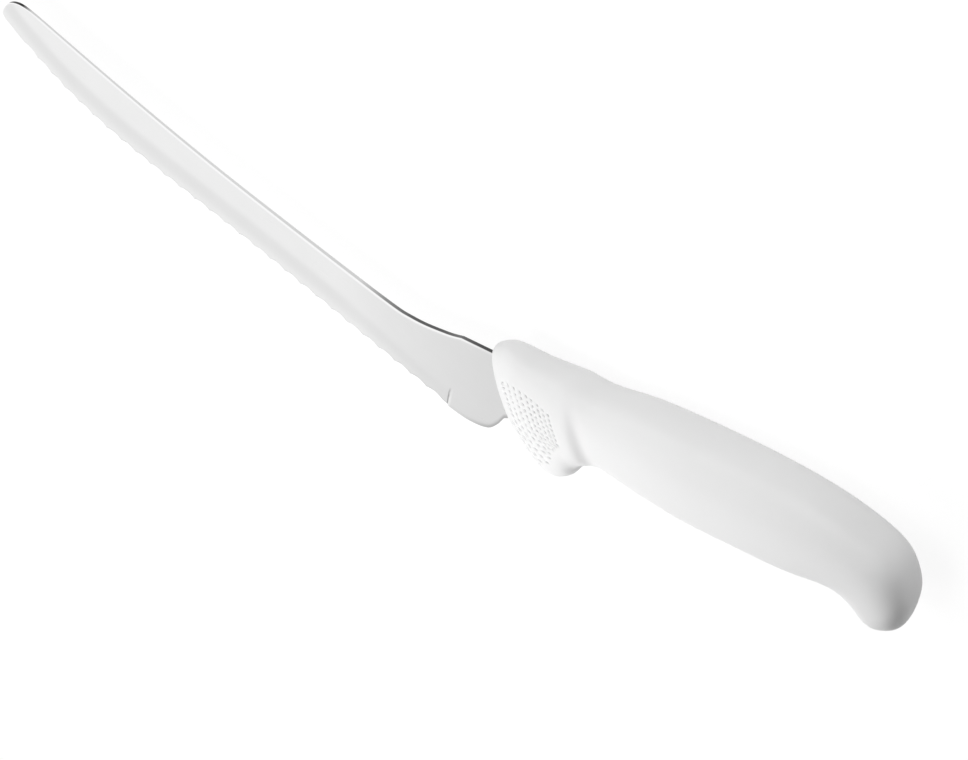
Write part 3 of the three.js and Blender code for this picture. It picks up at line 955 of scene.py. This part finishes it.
class Nodes:
    """Short ways to add and join nodes in one tree."""

    def __init__(self, tree):
        self.tree = tree

    def add(self, kind, values=None, **settings):
        node = self.tree.nodes.new(kind)
        for key, value in settings.items():
            setattr(node, key, value)
        for key, value in (values or {}).items():
            if isinstance(value, bpy.types.NodeSocket):
                self.tree.links.new(value, node.inputs[key])
            else:
                node.inputs[key].default_value = value
        return node

    def math(self, operation, *values):
        return self.add("ShaderNodeMath", dict(enumerate(values)), operation=operation).outputs[0]

    def mix(self, share, a, b):
        return self.add("ShaderNodeMix", {0: share, 6: a, 7: b}, data_type="RGBA").outputs[2]

    def scale(self, colour, factor):
        return self.add("ShaderNodeVectorMath", {0: colour, "Scale": factor}, operation="SCALE").outputs[0]

    def group(self, tree, values):
        return self.add("ShaderNodeGroup", values, node_tree=tree).outputs

    def ramp(self, value, stops):
        node = self.add("ShaderNodeValToRGB", {"Fac": value})
        elements = node.color_ramp.elements
        while len(elements) < len(stops):
            elements.new(1)
        for element, (position, level) in zip(elements, stops):
            element.position = position
            element.color = grey(level)
        return node.outputs[0]

    def attribute(self, name):
        return self.add("ShaderNodeAttribute", attribute_name=name).outputs["Fac"]


def grey(level, warmth=0.0):
    return (level * (1 + warmth), level, level * (1 - warmth), 1)


def stroke_group():
    """Fine parallel strokes, as a belt or a brush leaves on steel, with broad cloudy patches."""
    tree = bpy.data.node_groups.new("steel_strokes", "ShaderNodeTree")
    socket(tree, "Vector", "INPUT", "NodeSocketVector")
    socket(tree, "Turn", "INPUT", "NodeSocketFloat", 0.0)
    socket(tree, "Fineness", "INPUT", "NodeSocketFloat", 1.0)
    socket(tree, "Strokes", "OUTPUT", "NodeSocketFloat")
    socket(tree, "Clouds", "OUTPUT", "NodeSocketFloat")
    n = Nodes(tree)
    given = n.add("NodeGroupInput").outputs
    turned = n.add("ShaderNodeVectorRotate", {"Vector": given["Vector"], "Angle": given["Turn"]},
                   rotation_type="Z_AXIS").outputs[0]
    stretch = n.add("ShaderNodeVectorMath", {0: turned, 1: STROKE_STRETCH}, operation="MULTIPLY").outputs[0]
    fine = n.scale(stretch, given["Fineness"])
    strokes = n.add("ShaderNodeTexNoise", {"Vector": fine, "Scale": 1.0, "Detail": 3.0, "Roughness": 0.6})
    clouds = n.add("ShaderNodeTexNoise", {"Vector": turned, "Scale": CLOUD_SCALE, "Detail": 3.0,
                                          "Roughness": 0.5})
    n.add("NodeGroupOutput", {"Strokes": strokes.outputs["Fac"], "Clouds": clouds.outputs["Fac"]})
    return tree


def grain_group():
    """The fine spark-eroded grain of a moulded polymer, with a slow change of tone."""
    tree = bpy.data.node_groups.new("moulded_grain", "ShaderNodeTree")
    socket(tree, "Vector", "INPUT", "NodeSocketVector")
    socket(tree, "Size", "INPUT", "NodeSocketFloat")
    socket(tree, "Grain", "OUTPUT", "NodeSocketFloat")
    socket(tree, "Tone", "OUTPUT", "NodeSocketFloat")
    n = Nodes(tree)
    given = n.add("NodeGroupInput").outputs
    spot = given["Vector"]
    grain = n.add("ShaderNodeTexNoise", {"Vector": spot, "Scale": given["Size"], "Detail": 2.0})
    tone = n.add("ShaderNodeTexNoise", {"Vector": spot, "Scale": POLYMER_TONE_SCALE, "Detail": 2.0})
    n.add("NodeGroupOutput", {"Grain": grain.outputs["Fac"], "Tone": tone.outputs["Fac"]})
    return tree


def new_material(name):
    material = bpy.data.materials.new(name)
    material.use_nodes = True
    material.node_tree.nodes.clear()
    return material, Nodes(material.node_tree)


def close_material(n, values):
    shader = n.add("ShaderNodeBsdfPrincipled", values)
    n.add("ShaderNodeOutputMaterial", {"Surface": shader.outputs[0]})


def steel(strokes):
    material, n = new_material("satin_steel")
    spot = n.add("ShaderNodeTexCoord").outputs["Object"]
    ground = n.attribute("ground")
    lengthwise = n.group(strokes, {"Vector": spot, "Turn": FLANK_STROKE_TURN})
    across = n.group(strokes, {"Vector": spot, "Turn": BAND_STROKE_TURN, "Fineness": BAND_STROKE_FINENESS})
    along = n.math("DIVIDE", n.attribute("along"), BLADE_LENGTH * MM)
    # The ground band is painted lighter near the edge, a painted highlight
    band = n.mix(n.attribute("edge"), n.ramp(along, BAND_TONES), n.ramp(along, EDGE_HIGHLIGHT_TONES))
    faces = n.mix(ground, n.ramp(along, FLANK_TONES), band)
    marks = n.mix(ground, lengthwise["Strokes"], across["Strokes"])
    tone = n.math("MULTIPLY_ADD", marks, STROKE_SWING, STROKE_BASE)
    clouds = n.math("MULTIPLY_ADD", lengthwise["Clouds"], CLOUD_SWING, CLOUD_BASE)
    brushed = n.scale(faces, n.math("MULTIPLY", tone, clouds))
    # Painted shade on the step where the grind stops at the heel
    plunge_shaded = n.mix(n.attribute("plunge_shade"), brushed, grey(PLUNGE_SHADE_TONE))
    # Painted highlight along the spine's corner and beside the step at the heel
    rim = n.math("MULTIPLY", n.attribute("rim"), n.ramp(along, RIM_HIGHLIGHT_STRENGTH))
    highlighted = n.mix(rim, plunge_shaded, grey(RIM_HIGHLIGHT_TONE))
    # Painted reflection on the spine's face and painted shade along the heel's foot, darkest near the handle
    # and at the tip's crown
    colour = n.mix(n.attribute("stamped"), highlighted, n.ramp(along, PAINTED_DARK_TONES))
    satin = n.math("MULTIPLY_ADD", ground, GROUND_ROUGHNESS, STEEL_ROUGHNESS)
    rough = n.math("MULTIPLY_ADD", marks, STROKE_ROUGHNESS, satin)
    bump = n.add("ShaderNodeBump", {"Height": marks, "Strength": 0.15, "Distance": STROKE_HEIGHT * MM})
    close_material(n, {"Base Color": colour, "Metallic": 1.0, "Roughness": rough,
                       "Normal": bump.outputs[0]})
    return material


def polymer(name, grain, level, fineness, rough, height):
    material, n = new_material(name)
    spot = n.add("ShaderNodeTexCoord").outputs["Object"]
    moulded = n.group(grain, {"Vector": spot, "Size": fineness})
    warm = grey(level * (1 - POLYMER_SWING), POLYMER_WARM)
    cool = grey(level * (1 + POLYMER_SWING), POLYMER_COOL)
    colour = n.mix(moulded["Tone"], warm, cool)
    shaded = n.scale(colour, n.math("MULTIPLY_ADD", n.attribute("dot"), -DOT_SHADE, 1))
    roughness = n.math("MULTIPLY_ADD", moulded["Grain"], GRAIN_ROUGHNESS, rough - GRAIN_ROUGHNESS / 2)
    bump = n.add("ShaderNodeBump", {"Height": moulded["Grain"], "Strength": 0.35, "Distance": height * MM})
    close_material(n, {"Base Color": shaded, "Roughness": roughness, "Normal": bump.outputs[0],
                       "Specular IOR Level": 0.5})
    return material


# Studio

def camera():
    data = bpy.data.cameras.new("camera")
    data.sensor_width = CAMERA_SENSOR
    data.sensor_fit = "HORIZONTAL"
    data.lens = CAMERA_LENS
    turn = Matrix((CAMERA_RIGHT, CAMERA_UP, CAMERA_BACK)).transposed()
    made = bpy.data.objects.new("camera", data)
    made.matrix_world = Matrix.Translation(in_frame(*CAMERA_PLACE)) @ turn.to_4x4()
    bpy.context.scene.collection.objects.link(made)
    bpy.context.scene.camera = made


def seen_ray(n):
    """1 for rays that show the background: from the camera, or by way of a reflection or through glass."""
    path = n.add("ShaderNodeLightPath").outputs
    seen = n.math("MAXIMUM", path["Is Camera Ray"], path["Is Glossy Ray"])
    return n.math("MAXIMUM", seen, path["Is Transmission Ray"])


def floor():
    material, n = new_material("floor_white")
    bounce = n.add("ShaderNodeBsdfDiffuse", {"Color": grey(FLOOR_BOUNCE)})
    shade = n.add("ShaderNodeBsdfDiffuse", {"Color": grey(FLOOR_SHADE)})
    spot = n.add("ShaderNodeTexCoord").outputs["Object"]
    away = n.add("ShaderNodeVectorMath", {0: spot}, operation="LENGTH").outputs["Value"]
    glow = n.add("ShaderNodeEmission", {"Color": n.ramp(away, FLOOR_GLOW), "Strength": 1.0})
    lit = n.add("ShaderNodeAddShader", {0: shade.outputs[0], 1: glow.outputs[0]})
    both = n.add("ShaderNodeMixShader", {0: seen_ray(n), 1: bounce.outputs[0], 2: lit.outputs[0]})
    n.add("ShaderNodeOutputMaterial", {"Surface": both.outputs[0]})
    bm = bmesh.new()
    bmesh.ops.create_grid(bm, x_segments=1, y_segments=1, size=FLOOR_HALF)
    made = new_piece("floor", mesh_from(bm, "floor"), material)


def sky():
    world = bpy.data.worlds.new("studio")
    world.use_nodes = True
    world.node_tree.nodes.clear()
    n = Nodes(world.node_tree)
    dim = n.add("ShaderNodeBackground", {"Color": grey(1), "Strength": SKY_LEVEL})
    white = n.add("ShaderNodeBackground", {"Color": grey(1), "Strength": 1.0})
    both = n.add("ShaderNodeMixShader", {0: seen_ray(n), 1: dim.outputs[0], 2: white.outputs[0]})
    n.add("ShaderNodeOutputWorld", {"Surface": both.outputs[0]})
    bpy.context.scene.world = world


def softbox(name, place, level, size):
    """A square lamp turned to the middle of the scene."""
    place = Vector(place)
    data = bpy.data.lights.new(name, "AREA")
    data.shape = "SQUARE"
    data.size = size
    data.energy = math.pi ** 2 * place.length_squared * level
    lamp = bpy.data.objects.new(name, data)
    lamp.location = place
    lamp.rotation_euler = place.to_track_quat("Z", "Y").to_euler()
    lamp.visible_camera = False
    lamp.visible_glossy = False
    bpy.context.scene.collection.objects.link(lamp)


bpy.context.scene.view_settings.view_transform = "Standard"
camera()
floor()
sky()
for lamp in LAMPS:
    softbox(*lamp)

grain = grain_group()
blade_piece = blade(steel(stroke_group()))
grip_piece = grip(polymer("grip_polymer", grain, **GRIP_FINISH))
new_pieces = ((blade_piece, "blade", "blade_steel"), (grip_piece, "handle_grip", "grip_polymer"))
for piece, node, slot_name in new_pieces:
    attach(piece, "root")
    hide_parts(node)
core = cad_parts["handle_core"]
core.data.materials.clear()
core.data.materials.append(polymer("core_polymer", grain, **CORE_FINISH))
